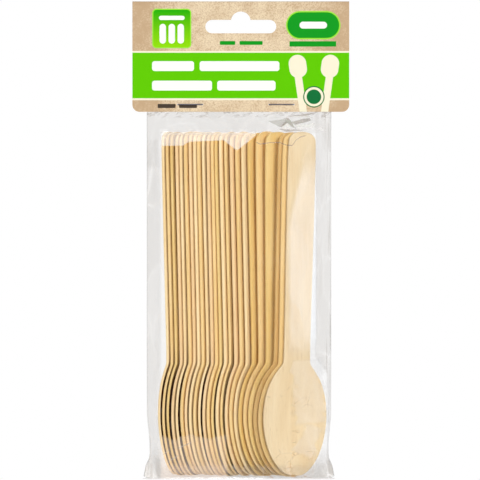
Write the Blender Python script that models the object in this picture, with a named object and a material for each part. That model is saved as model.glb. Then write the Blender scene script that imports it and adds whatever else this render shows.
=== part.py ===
"""Hanging pack of wooden spoons: a fan of pressed spoons in a clear film bag, under a stapled card header.

The pack hangs upright. X runs across it, Y runs from front to back and Z up. The origin is the top of the
bump in the hang slot, midway between the card's two panels, where a peg carries the pack.
"""

import math

import bmesh
import bpy
import numpy as np
from mathutils import Matrix, Vector

MM = 0.001

# Card header: one sheet folded over the bag's mouth.
CARD_SHEET = 0.4 * MM
CARD_HEIGHT = 51.5 * MM
CARD_ABOVE_BUMP = 4.7 * MM
CARD_OVERHANG = 7.6 * MM
CARD_CORNER = 3.2 * MM
CARD_CORNER_SEGMENTS = 5
FOLD_SEGMENTS = 8

# Hang slot: a long slot with round ends and a round bump over its middle.
SLOT_LENGTH = 33.1 * MM
SLOT_HEIGHT = 6.3 * MM
BUMP_RADIUS = 4.6 * MM
BUMP_RISE = 3.9 * MM
SLOT_ARC_SEGMENTS = 12

# Clear bag: one tube of film, welded along its foot, open at its mouth inside the card.
FILM = 0.12 * MM
FLAT_BAG_GAP = 0.16 * MM
LAYER_CLEARANCE = 0.15 * MM
MOUTH_BELOW_SLOT = 10.0 * MM
FILM_CLEARANCE = 0.6 * MM
LEFT_SLACK = 4.2 * MM
RIGHT_SLACK = 1.2 * MM
FOOT_FLARE = 2.0 * MM
FOOT_WELD = 0.5 * MM
FOOT_ROOM = 0.3 * MM
FLARE_RINGS = 3
UNDER_TIP_SHARE = 0.12
FIN_PULL = 0.55
TAUTNESS = 0.5
GATHER_DEPTH = 0.9 * MM
GATHER_PITCH = 13.0 * MM
SHOULDER_RINGS = 3

# Staples: round wire, crown in front, both legs clinched inwards behind.
WIRE = 0.55 * MM
CROWN = 12.0 * MM
CLINCH = 4.5 * MM
STAPLE_BEND = 0.55 * MM
STAPLE_ABOVE_EDGE = 3.4 * MM
STAPLE_PLACES = {"staple_left": -23.6 * MM, "staple_right": 19.0 * MM}
LEG_CLEARANCE = 0.15 * MM
LEG_HOLE_SEGMENTS = 10
WIRE_CLEARANCE = 0.1 * MM

# One spoon, cut from a flat blank and pressed to a shallow dish.
SPOON_LENGTH = 160.0 * MM
SPOON_THICKNESS = 1.4 * MM
BOWL_WIDTH = 32.0 * MM
BOWL_RISE = 28.5 * MM
BOWL_SHOULDER = 25.0 * MM
TIP_FLAT = 7.0 * MM
NECK_WIDTH = 12.7 * MM
HANDLE_WIDTH = 14.5 * MM
HANDLE_CORNER = 5.5 * MM
NECK_BLEND = 8
DISH_DEPTH = 1.1 * MM
DISH_FLOOR = 0.45
TIP_LIFT = 1.1 * MM
HANDLE_LIFT = 0.6 * MM

# How the spoons stand: edge on at the left, then opening like a fan until the last three face the front.
SPOON_COUNT = 24
FAN_FIRST = 13
FAN_LAST = 22
STEEP_TILT = math.radians(65)
FRONT_TILT = math.radians(22)
TILT_POWER = 2.2
NEST_GAP = 0.47 * MM
FRONT_PITCH = 2.3 * MM
PITCH_POWER = 5
LEFT_LEAN = math.radians(1.2)
RIGHT_LEAN = math.radians(-1.4)
LEAN_POWER = 6
BACK_LEAN = math.radians(1.3)
BACK_LEAN_POWER = 2
PACK_LEFT = -38.8 * MM
HEADROOM = 9.5 * MM
UNEVEN_SEED = 7
UNEVEN_PLACE = 0.13 * MM
UNEVEN_HEIGHT = 0.4 * MM
UNEVEN_LEAN = math.radians(0.1)


def clear_scene():
    for obj in list(bpy.data.objects):
        bpy.data.objects.remove(obj, do_unlink=True)


def material(name, colour, roughness, metallic=0.0, alpha=1.0):
    made = bpy.data.materials.new(name)
    made.use_nodes = True
    shader = made.node_tree.nodes["Principled BSDF"]
    shader.inputs["Base Color"].default_value = (*colour, 1.0)
    shader.inputs["Roughness"].default_value = roughness
    shader.inputs["Metallic"].default_value = metallic
    shader.inputs["Alpha"].default_value = alpha
    return made


def add_object(name, data, finish):
    data.materials.append(finish)
    obj = bpy.data.objects.new(name, data)
    bpy.context.scene.collection.objects.link(obj)
    return obj


def mesh_from(name, shape, smooth_angle=None):
    bmesh.ops.recalc_face_normals(shape, faces=shape.faces)
    mesh = bpy.data.meshes.new(name)
    shape.to_mesh(mesh)
    shape.free()
    if smooth_angle is not None:
        mesh.shade_smooth()
        mesh.set_sharp_from_angle(angle=smooth_angle)
    return mesh


def arc(centre, radius, start, end, segments):
    """Points on an arc in the XZ plane, from the start angle to the end angle in degrees."""
    angles = [math.radians(start + (end - start) * i / segments) for i in range(segments + 1)]
    return [(centre[0] + radius * math.cos(a), centre[1] + radius * math.sin(a)) for a in angles]


def prism(points, depth):
    """A closed prism of an (x, z) outline that reaches depth in front of and behind the middle plane."""
    shape = bmesh.new()
    outline = [shape.verts.new((x, -depth, z)) for x, z in points]
    face = shape.faces.new(outline)
    swept = bmesh.ops.extrude_face_region(shape, geom=[face])["geom"]
    moved = [item for item in swept if isinstance(item, bmesh.types.BMVert)]
    bmesh.ops.translate(shape, verts=moved, vec=(0, 2 * depth, 0))
    return shape


def cut(obj, cutter):
    cutter.hide_render = True
    cutter.display_type = "WIRE"
    modifier = obj.modifiers.new(cutter.name, "BOOLEAN")
    modifier.operation = "DIFFERENCE"
    modifier.solver = "EXACT"
    modifier.object = cutter


# The card's section, shared by everything that is stapled to it.
INNER_GAP = 2 * FILM + FLAT_BAG_GAP + 2 * LAYER_CLEARANCE
CARD_HALF = INNER_GAP / 2 + CARD_SHEET
CARD_TOP = CARD_ABOVE_BUMP
CARD_EDGE = CARD_TOP - CARD_HEIGHT
SLOT_TOP = -BUMP_RISE
SLOT_FOOT = SLOT_TOP - SLOT_HEIGHT
STAPLE_LEVEL = CARD_EDGE + STAPLE_ABOVE_EDGE
BAG_MOUTH = SLOT_FOOT - MOUTH_BELOW_SLOT


def fan_share(number, power):
    """0 for the spoons that stand edge on, rising to 1 for those at the front."""
    share = (number - FAN_FIRST) / (FAN_LAST - FAN_FIRST)
    return min(max(share, 0.0), 1.0) ** power


def mix(low, high, share):
    return low + (high - low) * share


def bowl_half_width(run):
    """Half the bowl's width at a distance from the tip: two half ovals that meet at the widest place."""
    if run < BOWL_RISE:
        reach = BOWL_RISE / math.sqrt(1 - (TIP_FLAT / BOWL_WIDTH) ** 2)
    else:
        reach = BOWL_SHOULDER
    return BOWL_WIDTH / 2 * math.sqrt(max(0.0, 1 - ((run - BOWL_RISE) / reach) ** 2))


def handle_half_width(run):
    """Half the handle's width: it widens steadily from the neck, and its end has round corners."""
    neck = BOWL_RISE + BOWL_SHOULDER
    half = mix(NECK_WIDTH, HANDLE_WIDTH, (run - neck) / (SPOON_LENGTH - neck)) / 2
    into_corner = run - (SPOON_LENGTH - HANDLE_CORNER)
    if into_corner > 0:
        half -= HANDLE_CORNER - math.sqrt(max(0.0, HANDLE_CORNER**2 - into_corner**2))
    return half


def half_width(run):
    """Half the spoon's width at a distance from the tip, with the bowl flowing into the handle."""
    bowl = bowl_half_width(run)
    if run < BOWL_RISE:
        return bowl
    handle = handle_half_width(run)
    larger = max(bowl, handle)
    blended = (bowl / larger) ** NECK_BLEND + (handle / larger) ** NECK_BLEND
    return larger * blended ** (1 / NECK_BLEND)


def spoon_stations():
    """Distances from the tip at which the spoon's outline has points, close together where it bends."""
    reach = BOWL_RISE / math.sqrt(1 - (TIP_FLAT / BOWL_WIDTH) ** 2)
    first = math.acos(BOWL_RISE / reach)
    lower_steps = 6
    lower = [first + (math.pi / 2 - first) * i / lower_steps for i in range(lower_steps + 1)]
    stations = [BOWL_RISE - reach * math.cos(angle) for angle in lower[:-1]] + [BOWL_RISE]
    stations += [BOWL_RISE + BOWL_SHOULDER * math.sin(math.radians(angle)) for angle in (20, 38, 54, 70)]
    neck = BOWL_RISE + BOWL_SHOULDER
    straight_end = SPOON_LENGTH - HANDLE_CORNER
    stations += [neck, mix(neck, straight_end, 0.12), mix(neck, straight_end, 0.5), straight_end]
    stations += [straight_end + HANDLE_CORNER * math.sin(math.radians(angle)) for angle in (30, 60, 90)]
    return stations


def dish(run):
    """How far the bowl's floor is pressed back at a distance from the tip."""
    reach = BOWL_SHOULDER if run > BOWL_RISE else BOWL_RISE
    return DISH_DEPTH * max(0.0, 1 - ((run - BOWL_RISE) / reach) ** 2)


def lift(run):
    """How far the section stands forward at a distance from the tip: the blank is pressed to a bow."""
    if run < BOWL_RISE:
        return TIP_LIFT * ((BOWL_RISE - run) / BOWL_RISE) ** 2
    share = min((run - BOWL_RISE) / BOWL_SHOULDER, 1.0)
    return HANDLE_LIFT * share**2 * (3 - 2 * share)


def spoon_mesh():
    """The spoon stands on its tip, faces the front and turns about the widest place of its bowl."""
    stations = spoon_stations()
    columns = (-1.0, -DISH_FLOOR, DISH_FLOOR, 1.0)
    shape = bmesh.new()
    strips = len(columns) - 1
    bands = len(stations) - 1
    bmesh.ops.create_grid(shape, x_segments=strips, y_segments=bands, size=1.0)
    for vert in shape.verts:
        column = round((vert.co.x + 1) / 2 * strips)
        run = stations[round((vert.co.y + 1) / 2 * bands)]
        pressed = dish(run) if abs(columns[column]) < 1 else 0.0
        depth = pressed - lift(run) - SPOON_THICKNESS / 2
        vert.co = (columns[column] * half_width(run), depth, run - BOWL_RISE)
    swept = bmesh.ops.extrude_face_region(shape, geom=shape.faces[:])["geom"]
    moved = [item for item in swept if isinstance(item, bmesh.types.BMVert)]
    bmesh.ops.translate(shape, verts=moved, vec=(0, SPOON_THICKNESS, 0))
    return mesh_from("spoon", shape, smooth_angle=math.radians(35))


class Stance:
    """Where one spoon stands: the middle of its bowl at the widest, its tilt from the front and its leans."""

    def __init__(self, centre, tilt, lean, back_lean):
        self.centre = centre
        self.tilt = tilt
        self.lean = lean
        self.back_lean = back_lean
        self.across = Vector((math.cos(tilt), math.sin(tilt), 0))
        self.outward = Vector((math.sin(tilt), -math.cos(tilt), 0))

    def matrix(self):
        turned = Matrix.Rotation(-self.lean, 4, "Y") @ Matrix.Rotation(-self.back_lean, 4, "X")
        return Matrix.Translation(self.centre) @ turned @ Matrix.Rotation(self.tilt, 4, "Z")

    def axis_at(self, level):
        """The spoon's long axis at a level."""
        up = level - self.centre.z
        sideways = -up * math.tan(self.lean)
        backwards = up * math.tan(self.back_lean)
        return Vector((self.centre.x + sideways, self.centre.y + backwards, level))

    def edge(self, level, side, face):
        """A point clear of the spoon's edge: side -1 is the edge in front, and face 1 the front face.

        It also clears a neighbour that stands a little higher or lower.
        """
        run = level - self.centre.z + BOWL_RISE
        shifts = (-2 * UNEVEN_HEIGHT, 2 * UNEVEN_HEIGHT)
        nearby = [min(max(run + shift, 0.0), SPOON_LENGTH) for shift in shifts]
        half = max(half_width(place) for place in nearby) + FILM_CLEARANCE
        deep = face * (SPOON_THICKNESS / 2 + FILM_CLEARANCE) + lift(nearby[0])
        return self.axis_at(level) + side * half * self.across + deep * self.outward


def stances():
    """Each spoon leans on the face of its left neighbour, a nest gap clear of it."""
    chance = np.random.default_rng(UNEVEN_SEED).uniform(-1, 1, (SPOON_COUNT, 3))
    spacing = SPOON_THICKNESS + NEST_GAP
    steep_pitch = spacing / math.sin(STEEP_TILT)
    bowl_level = CARD_EDGE - HEADROOM - SPOON_LENGTH + BOWL_RISE
    first_edge = SPOON_THICKNESS / 2 * math.sin(STEEP_TILT)
    place = Vector((PACK_LEFT + first_edge, -BOWL_WIDTH / 2 * math.sin(STEEP_TILT), bowl_level))
    found = []
    for number in range(1, SPOON_COUNT + 1):
        tilt = mix(STEEP_TILT, FRONT_TILT, fan_share(number, TILT_POWER))
        calm = 1 - fan_share(number, 1)
        shift, rise, sway = chance[number - 1]
        if number > 1:
            last = found[-1].tilt
            pitch = mix(steep_pitch, max(FRONT_PITCH, steep_pitch), fan_share(number, PITCH_POWER))
            place += Vector((pitch, (pitch * math.sin(last) - spacing) / math.cos(last), 0))
        centre = place + BOWL_WIDTH / 2 * Vector((math.cos(tilt), math.sin(tilt), 0))
        centre += Vector((calm * shift * UNEVEN_PLACE, 0, rise * UNEVEN_HEIGHT))
        lean = mix(LEFT_LEAN, RIGHT_LEAN, fan_share(number, LEAN_POWER)) + sway * UNEVEN_LEAN
        back_lean = BACK_LEAN * fan_share(number, BACK_LEAN_POWER)
        found.append(Stance(centre, tilt, lean, back_lean))
    return found


def add_spoons(pack):
    blank = spoon_mesh()
    birch = material("birch", (0.80, 0.62, 0.38), 0.6)
    blank.materials.append(birch)
    for number, stance in enumerate(pack, start=1):
        obj = bpy.data.objects.new(f"spoon_{number:02d}", blank)
        bpy.context.scene.collection.objects.link(obj)
        obj.matrix_world = stance.matrix()


def bag_sides(pack):
    """The X of the bag's left and right edges: past the outermost bowls by the film's slack."""
    level = pack[0].centre.z
    left = pack[0].edge(level, -1, -1).x - LEFT_SLACK
    right = pack[-1].edge(level, 1, 1).x + RIGHT_SLACK
    return left, right


def fin(tip, anchor, steps):
    """Points from a side fold to the first spoon that holds the film out: the slack film lies in there."""
    inner = []
    for i in range(1, steps):
        share = i / steps
        pulled = share ** (1 + FIN_PULL)
        inner.append(Vector((mix(tip.x, anchor.x, share), mix(tip.y, anchor.y, pulled), anchor.z)))
    return inner


def film_sides(pack, level, sides):
    """The film's inner face at a level: a front and a back row, each from the left fold to the right."""
    first, last = pack[0], pack[-1]
    left = Vector((sides[0], 0, level))
    right = Vector((sides[1], 0, level))
    between = pack[2:-1:2]
    corner = first.edge(level, -1, 1)
    corner.x = first.edge(level, -1, -1).x
    front = [corner] + [stance.edge(level, -1, 1) for stance in between]
    front += [last.edge(level, side, 1) for side in (-1, 0, 1)]
    back = [stance.edge(level, 1, -1) for stance in (first, *between, last)]
    front = [left] + fin(left, front[0], 3) + front + fin(right, front[-1], 2)[::-1] + [right]
    back = [left.copy()] + fin(left, back[0], 5) + back + fin(right, back[-1], 2)[::-1] + [right.copy()]
    return front, back


def flat_sides(sides, level, count):
    """The film's inner face where the bag lies flat: two straight rows."""
    half = FLAT_BAG_GAP / 2
    rows = []
    for way in (-1, 1):
        xs = [mix(sides[0], sides[1], i / (count - 1)) for i in range(count)]
        rows.append([Vector((x, 0 if x in (xs[0], xs[-1]) else way * half, level)) for x in xs])
    return rows


def blend_rows(rows, others, share, level):
    return [
        [Vector((mix(a.x, b.x, share), mix(a.y, b.y, share), level)) for a, b in zip(row, other)]
        for row, other in zip(rows, others)
    ]


def gather(rows, depth):
    """Pushes the film out in soft upright folds, and leaves its two side folds where they are."""
    for row, way in zip(rows, (-1, 1)):
        for point in row[1:-1]:
            point.y += way * depth * (0.5 + 0.5 * math.sin(2 * math.pi * point.x / GATHER_PITCH))
    return rows


def pull_taut(body, widest):
    """Draws the film part of the way to a straight line from the handles' ends to the widest bowls."""
    top, low = body[0], body[widest]
    for rows in body[1:widest]:
        share = (top[0][0].z - rows[0][0].z) / (top[0][0].z - low[0][0].z)
        for side, way in enumerate((-1, 1)):
            for point, above, below in zip(rows[side], top[side], low[side]):
                taut = mix(above.y, below.y, share)
                if way * (taut - point.y) > 0:
                    point.y = mix(point.y, taut, TAUTNESS)


def flare(body):
    """Spreads the bag's side folds outwards over its lowest rings."""
    for number, rows in enumerate(body[-FLARE_RINGS:], start=1):
        spread = FOOT_FLARE * number / (FLARE_RINGS + 1)
        for row in rows:
            row[0].x -= spread
            row[-1].x += spread


def film_rings(pack):
    """Rings on the film's inner face, from the mouth to the weld: the body has one at each station."""
    sides = bag_sides(pack)
    tips = min(stance.centre.z for stance in pack) - BOWL_RISE
    tops = max(stance.centre.z for stance in pack) - BOWL_RISE + SPOON_LENGTH
    runs = spoon_stations()[::-1]
    body = [film_sides(pack, tips + run, sides) for run in runs]
    pull_taut(body, runs.index(BOWL_RISE))
    count = len(body[0][0])
    card_end = CARD_EDGE - LAYER_CLEARANCE
    flat = [flat_sides(sides, level, count) for level in (BAG_MOUTH, STAPLE_LEVEL + CROWN / 4, card_end)]
    shoulder = []
    for number in range(1, SHOULDER_RINGS + 1):
        share = number / SHOULDER_RINGS
        level = mix(card_end, tops + FILM_CLEARANCE, share)
        shoulder.append(gather(blend_rows(flat[-1], body[0], share, level), GATHER_DEPTH * share))
    for rows, run in zip(body, runs):
        if run > BOWL_RISE + BOWL_SHOULDER:
            gather(rows, GATHER_DEPTH / 2)
    foot_level = tips - FILM_CLEARANCE
    foot = flat_sides((sides[0] - FOOT_FLARE, sides[1] + FOOT_FLARE), foot_level - FOOT_ROOM, count)
    under_tips = blend_rows(body[-1], foot, UNDER_TIP_SHARE, foot_level)
    flare(body)
    return flat + shoulder + body + [under_tips, foot]


def offset_row(front, back, thickness):
    """The film's outer face around one ring: each point moved out along the ring's own normal."""
    loop = front + back[-2:0:-1]
    moved = []
    for index, point in enumerate(loop):
        before = loop[index - 1]
        after = loop[(index + 1) % len(loop)]
        along_in = (point - before).to_2d().normalized()
        along_out = (after - point).to_2d().normalized()
        along = (along_in + along_out).normalized()
        moved.append(point + thickness * Vector((along.y, -along.x, 0)))
    count = len(front)
    outer_front = moved[:count]
    outer_back = [moved[0].copy()] + moved[count:][::-1] + [moved[count - 1].copy()]
    return outer_front, outer_back


def ring_verts(shape, front, back):
    """One ring of vertices: the front row from left to right, then the back row from right to left."""
    return [shape.verts.new(point) for point in front + back[-2:0:-1]]


def skin(shape, upper, lower):
    for index in range(len(upper)):
        after = (index + 1) % len(upper)
        shape.faces.new((upper[index], upper[after], lower[after], lower[index]))


def cap(shape, ring, count):
    """Closes a flat ring: each front point is joined to the back point behind it."""
    back = [ring[0]] + ring[count:][::-1] + [ring[count - 1]]
    for index in range(count - 1):
        corners = [ring[index], ring[index + 1], back[index + 1], back[index]]
        shape.faces.new(list(dict.fromkeys(corners)))


def staple_pins():
    """The (x, z) places where staple legs pass through card and film."""
    reach = CROWN / 2 - WIRE / 2
    return [(middle + side * reach, STAPLE_LEVEL) for middle in STAPLE_PLACES.values() for side in (-1, 1)]


def leg_cutter(name):
    shape = bmesh.new()
    radius = WIRE / 2 + LEG_CLEARANCE
    for x, z in staple_pins():
        place = Matrix.Translation((x, 0, z)) @ Matrix.Rotation(math.pi / 2, 4, "X")
        bmesh.ops.create_cone(
            shape,
            cap_ends=True,
            segments=LEG_HOLE_SEGMENTS,
            radius1=radius,
            radius2=radius,
            depth=6 * CARD_HALF,
            matrix=place,
        )
    obj = bpy.data.objects.new(name, mesh_from(name, shape))
    bpy.context.scene.collection.objects.link(obj)
    return obj


def add_bag(pack):
    shape = bmesh.new()
    rings = film_rings(pack)
    count = len(rings[0][0])
    inner = [ring_verts(shape, front, back) for front, back in rings]
    outer_rows = [offset_row(front, back, FILM) for front, back in rings]
    for row in outer_rows[-2]:
        for point in row:
            point.z -= FILM
    for row in outer_rows[-1]:
        for point in row:
            point.z -= FOOT_WELD
    outer = [ring_verts(shape, front, back) for front, back in outer_rows]
    for rows in (inner, outer):
        for upper, lower in zip(rows, rows[1:]):
            skin(shape, upper, lower)
        cap(shape, rows[-1], count)
    skin(shape, inner[0], outer[0])
    film = material("clear_film", (0.92, 0.93, 0.93), 0.15, alpha=0.3)
    bag = add_object("clear_bag", mesh_from("clear_bag", shape, smooth_angle=math.radians(50)), film)
    cut(bag, leg_cutter("leg_holes_in_film"))


def slot_outline():
    """The hang slot's outline, anticlockwise from the left end of its foot."""
    radius = SLOT_HEIGHT / 2
    middle = SLOT_TOP - radius
    straight = SLOT_LENGTH / 2 - radius
    bump_centre = -BUMP_RADIUS
    drop = SLOT_TOP - bump_centre
    start = math.degrees(math.asin(drop / BUMP_RADIUS))
    points = arc((straight, middle), radius, -90, 90, SLOT_ARC_SEGMENTS)
    points += arc((0, bump_centre), BUMP_RADIUS, start, 180 - start, SLOT_ARC_SEGMENTS)
    points += arc((-straight, middle), radius, 90, 270, SLOT_ARC_SEGMENTS)
    return points


def add_card(pack):
    """One sheet: up the front, round the fold and down the back, with its four lower corners rounded."""
    half_width_of_card = (bag_sides(pack)[1] - bag_sides(pack)[0]) / 2 + CARD_OVERHANG
    fold_centre = CARD_TOP - CARD_HALF
    folds = []
    for half in (CARD_HALF, INNER_GAP / 2):
        bend = arc((0, fold_centre), half, 180, 0, FOLD_SEGMENTS)
        folds.append([(-half, CARD_EDGE)] + bend + [(half, CARD_EDGE)])
    shape = bmesh.new()
    rows = [[shape.verts.new((-half_width_of_card, y, z)) for y, z in fold] for fold in folds]
    section = [
        shape.faces.new((rows[0][i], rows[0][i + 1], rows[1][i + 1], rows[1][i]))
        for i in range(len(rows[0]) - 1)
    ]
    swept = bmesh.ops.extrude_face_region(shape, geom=section)["geom"]
    moved = [item for item in swept if isinstance(item, bmesh.types.BMVert)]
    bmesh.ops.translate(shape, verts=moved, vec=(2 * half_width_of_card, 0, 0))
    corners = [
        edge
        for edge in shape.edges
        if all(abs(vert.co.z - CARD_EDGE) < CARD_SHEET / 4 for vert in edge.verts)
        and abs(edge.verts[0].co.x - edge.verts[1].co.x) < CARD_SHEET / 4
    ]
    bmesh.ops.bevel(
        shape,
        geom=corners,
        offset=CARD_CORNER,
        segments=CARD_CORNER_SEGMENTS,
        profile=0.5,
        affect="EDGES",
        clamp_overlap=True,
        material=-1,
    )
    kraft = material("kraft_card", (0.68, 0.50, 0.33), 0.85)
    card = add_object("header_card", mesh_from("header_card", shape, smooth_angle=math.radians(40)), kraft)
    slot_mesh = mesh_from("hang_slot", prism(slot_outline(), 3 * CARD_HALF))
    slot = bpy.data.objects.new("hang_slot_cutter", slot_mesh)
    bpy.context.scene.collection.objects.link(slot)
    cut(card, slot)
    cut(card, leg_cutter("leg_holes_in_card"))


def staple_path():
    """Half of the wire's middle line, from the crown's middle round the leg to the clinched end."""
    face = CARD_HALF + WIRE / 2 + WIRE_CLEARANCE
    reach = CROWN / 2 - WIRE / 2
    bend = min(STAPLE_BEND, face / 2)
    front = arc((reach - bend, -face + bend), bend, -90, 0, 3)
    behind = arc((reach - bend, face - bend), bend, 0, 90, 3)
    return [(0, -face)] + front + behind + [(reach - CLINCH, face)]


def add_staples():
    steel = material("staple_wire", (0.75, 0.75, 0.76), 0.3, metallic=1.0)
    right = staple_path()
    left = [(-x, y) for x, y in right[:0:-1]]
    for name, middle in STAPLE_PLACES.items():
        curve = bpy.data.curves.new(name, "CURVE")
        curve.dimensions = "3D"
        curve.bevel_depth = WIRE / 2
        curve.bevel_resolution = 2
        curve.use_fill_caps = True
        spline = curve.splines.new("POLY")
        points = left + right
        spline.points.add(len(points) - 1)
        for point, (x, y) in zip(spline.points, points):
            point.co = (x, y, 0, 1)
        obj = add_object(name, curve, steel)
        obj.location = (middle, 0, STAPLE_LEVEL)


clear_scene()
spoon_pack = stances()
add_spoons(spoon_pack)
add_bag(spoon_pack)
add_card(spoon_pack)
add_staples()
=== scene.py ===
"""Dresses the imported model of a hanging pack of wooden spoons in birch, clear film, card and steel."""

import math

import bmesh
import bpy
from bpy.props import FloatProperty, FloatVectorProperty, PointerProperty
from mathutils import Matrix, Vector, noise


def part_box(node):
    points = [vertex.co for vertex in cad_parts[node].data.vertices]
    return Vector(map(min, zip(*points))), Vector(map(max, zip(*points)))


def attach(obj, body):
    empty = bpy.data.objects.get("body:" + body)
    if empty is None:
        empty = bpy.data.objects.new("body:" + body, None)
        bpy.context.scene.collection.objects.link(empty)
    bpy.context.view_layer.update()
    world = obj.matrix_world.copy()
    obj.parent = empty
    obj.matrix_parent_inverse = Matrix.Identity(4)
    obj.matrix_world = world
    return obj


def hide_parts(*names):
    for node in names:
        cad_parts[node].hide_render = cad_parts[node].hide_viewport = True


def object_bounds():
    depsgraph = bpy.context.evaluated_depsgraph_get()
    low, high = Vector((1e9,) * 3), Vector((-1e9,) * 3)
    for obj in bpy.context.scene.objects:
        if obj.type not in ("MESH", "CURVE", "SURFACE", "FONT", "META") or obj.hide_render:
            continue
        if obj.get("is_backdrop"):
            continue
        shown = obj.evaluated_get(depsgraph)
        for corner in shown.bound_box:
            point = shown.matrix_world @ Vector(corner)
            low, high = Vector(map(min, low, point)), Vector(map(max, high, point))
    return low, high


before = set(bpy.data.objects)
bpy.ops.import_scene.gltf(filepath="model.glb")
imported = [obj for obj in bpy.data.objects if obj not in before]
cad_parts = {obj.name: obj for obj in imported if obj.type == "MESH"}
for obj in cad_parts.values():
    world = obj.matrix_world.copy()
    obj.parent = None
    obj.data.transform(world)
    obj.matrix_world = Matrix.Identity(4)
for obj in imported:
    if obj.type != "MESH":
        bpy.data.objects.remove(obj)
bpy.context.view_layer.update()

bl_info = {
    "name": "Wooden Spoon Pack",
    "version": (1, 0, 0),
    "blender": (4, 5, 0),
    "location": "3D View > Sidebar > Spoon Pack",
    "description": "Finishes a hanging pack of wooden spoons around its packed model",
    "category": "Object",
}

MM = 0.001
MERGE_GAP, FLAT_WITHIN = 0.002 * MM, math.radians(18)
SPOONS = sorted(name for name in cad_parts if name.startswith("spoon_"))
FRONT_SPOON = SPOONS[-1]


def ink(red, green, blue):
    """A colour as it looks on screen, 0 to 255, made linear."""
    def linear(level):
        level /= 255
        return level / 12.92 if level <= 0.04045 else ((level + 0.055) / 1.055) ** 2.4
    return linear(red), linear(green), linear(blue)


# Birch: the light and the dark of each spoon's tone.
TONES = {
    "golden": (ink(248, 217, 158), ink(238, 200, 132)),
    "pale": (ink(254, 230, 182), ink(247, 215, 158)),
    "rosy": (ink(251, 220, 170), ink(241, 204, 150)),
    "tan": (ink(243, 213, 148), ink(232, 194, 120)),
    "honey": (ink(243, 209, 138), ink(233, 191, 114)),
    "amber": (ink(228, 194, 134), ink(212, 170, 106)),
    "cream": (ink(234, 213, 176), ink(225, 199, 157)),
}
TONE_ORDER = (
    "pale", "golden", "tan", "rosy", "pale", "golden", "rosy", "pale",
    "golden", "pale", "rosy", "golden", "tan", "pale", "golden", "rosy",
    "golden", "pale", "honey", "golden", "tan", "amber", "golden", "cream",
)
# How deep in shade each spoon's face lies behind the next spoon, from the left.
DEPTHS = (
    1.0, 0.9, 1.0, 0.55, 1.0, 0.1, 0.65, 0.4, 0.3, 1.0, 0.35, 0.1,
    0.85, 0.1, 0.75, 0.1, 0.1, 0.25, 0.1, 0.1, 0.1, 0.2, 0.25, 0.0,
)

# The printed fields: centre, half size and corner in mm, across the card and up from the origin, then the
# turn in degrees and the ink.
GREEN, LIME, WHITE, CREAM, DARK_GREEN, BLACK = "green", "lime", "white", "cream", "dark_green", "black"
PRINT = (
    (0.0, -18.85, 60.0, 0.42, 0.0, 0, CREAM),
    (0.0, -40.95, 60.0, 0.47, 0.0, 0, CREAM),
    (0.0, -29.88, 60.0, 10.62, 0.0, 0, GREEN),
    (-32.2, -7.95, 9.1, 9.2, 1.9, 0, LIME),
    (-32.2, -7.95, 8.6, 8.7, 1.5, 0, "badge"),
    (-32.2, -3.0, 6.0, 1.0, 1.0, 0, WHITE),
    (-36.4, -10.4, 1.5, 4.6, 1.5, 0, WHITE),
    (-32.2, -10.4, 1.5, 4.6, 1.5, 0, WHITE),
    (-28.0, -10.4, 1.5, 4.6, 1.5, 0, WHITE),
    (33.8, -6.4, 12.7, 6.6, 6.6, 0, LIME),
    (33.8, -6.4, 12.1, 6.0, 6.0, 0, DARK_GREEN),
    (33.8, -6.4, 6.4, 1.6, 1.6, 0, WHITE),
    (33.6, -15.15, 10.9, 1.25, 0.2, 0, DARK_GREEN),
    (-6.2, -14.7, 3.6, 0.9, 0.5, 0, DARK_GREEN),
    (4.8, -14.7, 5.4, 0.9, 0.5, 0, DARK_GREEN),
    (-31.6, -25.5, 9.8, 2.3, 1.2, 0, WHITE),
    (-0.6, -25.5, 18.6, 2.3, 1.2, 0, WHITE),
    (-27.4, -34.6, 14.0, 2.3, 1.2, 0, WHITE),
    (2.6, -34.6, 13.6, 2.3, 1.2, 0, WHITE),
    (26.6, -25.6, 4.1, 5.4, 4.1, 8, CREAM),
    (27.9, -38.0, 1.7, 9.5, 0.5, 8, CREAM),
    (41.6, -25.6, 4.1, 5.4, 4.1, -8, CREAM),
    (40.3, -38.0, 1.7, 9.5, 0.5, -8, CREAM),
    (34.1, -39.8, 5.0, 5.0, 5.0, 0, "stamp"),
    (34.1, -39.8, 4.5, 4.5, 4.5, 0, CREAM),
    (34.1, -39.8, 3.4, 3.4, 3.4, 0, "stamp"),
    (-34.6, -44.1, 4.2, 0.95, 0.5, 0, BLACK),
    (-24.6, -44.1, 4.2, 0.95, 0.5, 0, BLACK),
)
INKS = {
    GREEN: ink(94, 196, 0),
    LIME: ink(150, 225, 60),
    WHITE: ink(244, 244, 238),
    CREAM: ink(240, 233, 206),
    DARK_GREEN: ink(18, 150, 32),
    BLACK: ink(72, 62, 52),
    "stamp": ink(20, 110, 56),
}
PORE_BROWN, FLECK_BROWN = ink(150, 104, 58), ink(176, 116, 58)
SHADED_HANDLE, SHADED_BOWL = ink(118, 70, 6), ink(56, 24, 0)
TIP_BLUSH, WRINKLE_BROWN, CREASE_GREY = ink(246, 226, 210), ink(206, 156, 90), ink(112, 92, 118)
SPECK_BROWN, SCRATCH_GREY = ink(128, 92, 66), ink(92, 90, 102)


# ---------------------------------------------------------------- settings

class SpoonSettings(bpy.types.PropertyGroup):
    edge_round: FloatProperty(
        name="Edge Round", description="Width of the worn rim on each spoon", default=0.28 * MM,
        unit="LENGTH")
    grain_length: FloatProperty(
        name="Grain Length", description="Length of the veneer's grain streaks in mm", default=26.0)
    grain_width: FloatProperty(
        name="Grain Width", description="Width of the veneer's grain streaks in mm", default=0.9)
    nested_shade: FloatProperty(
        name="Nested Shade", description="How much darker the faces between the spoons are", default=1.0,
        subtype="FACTOR")


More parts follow.
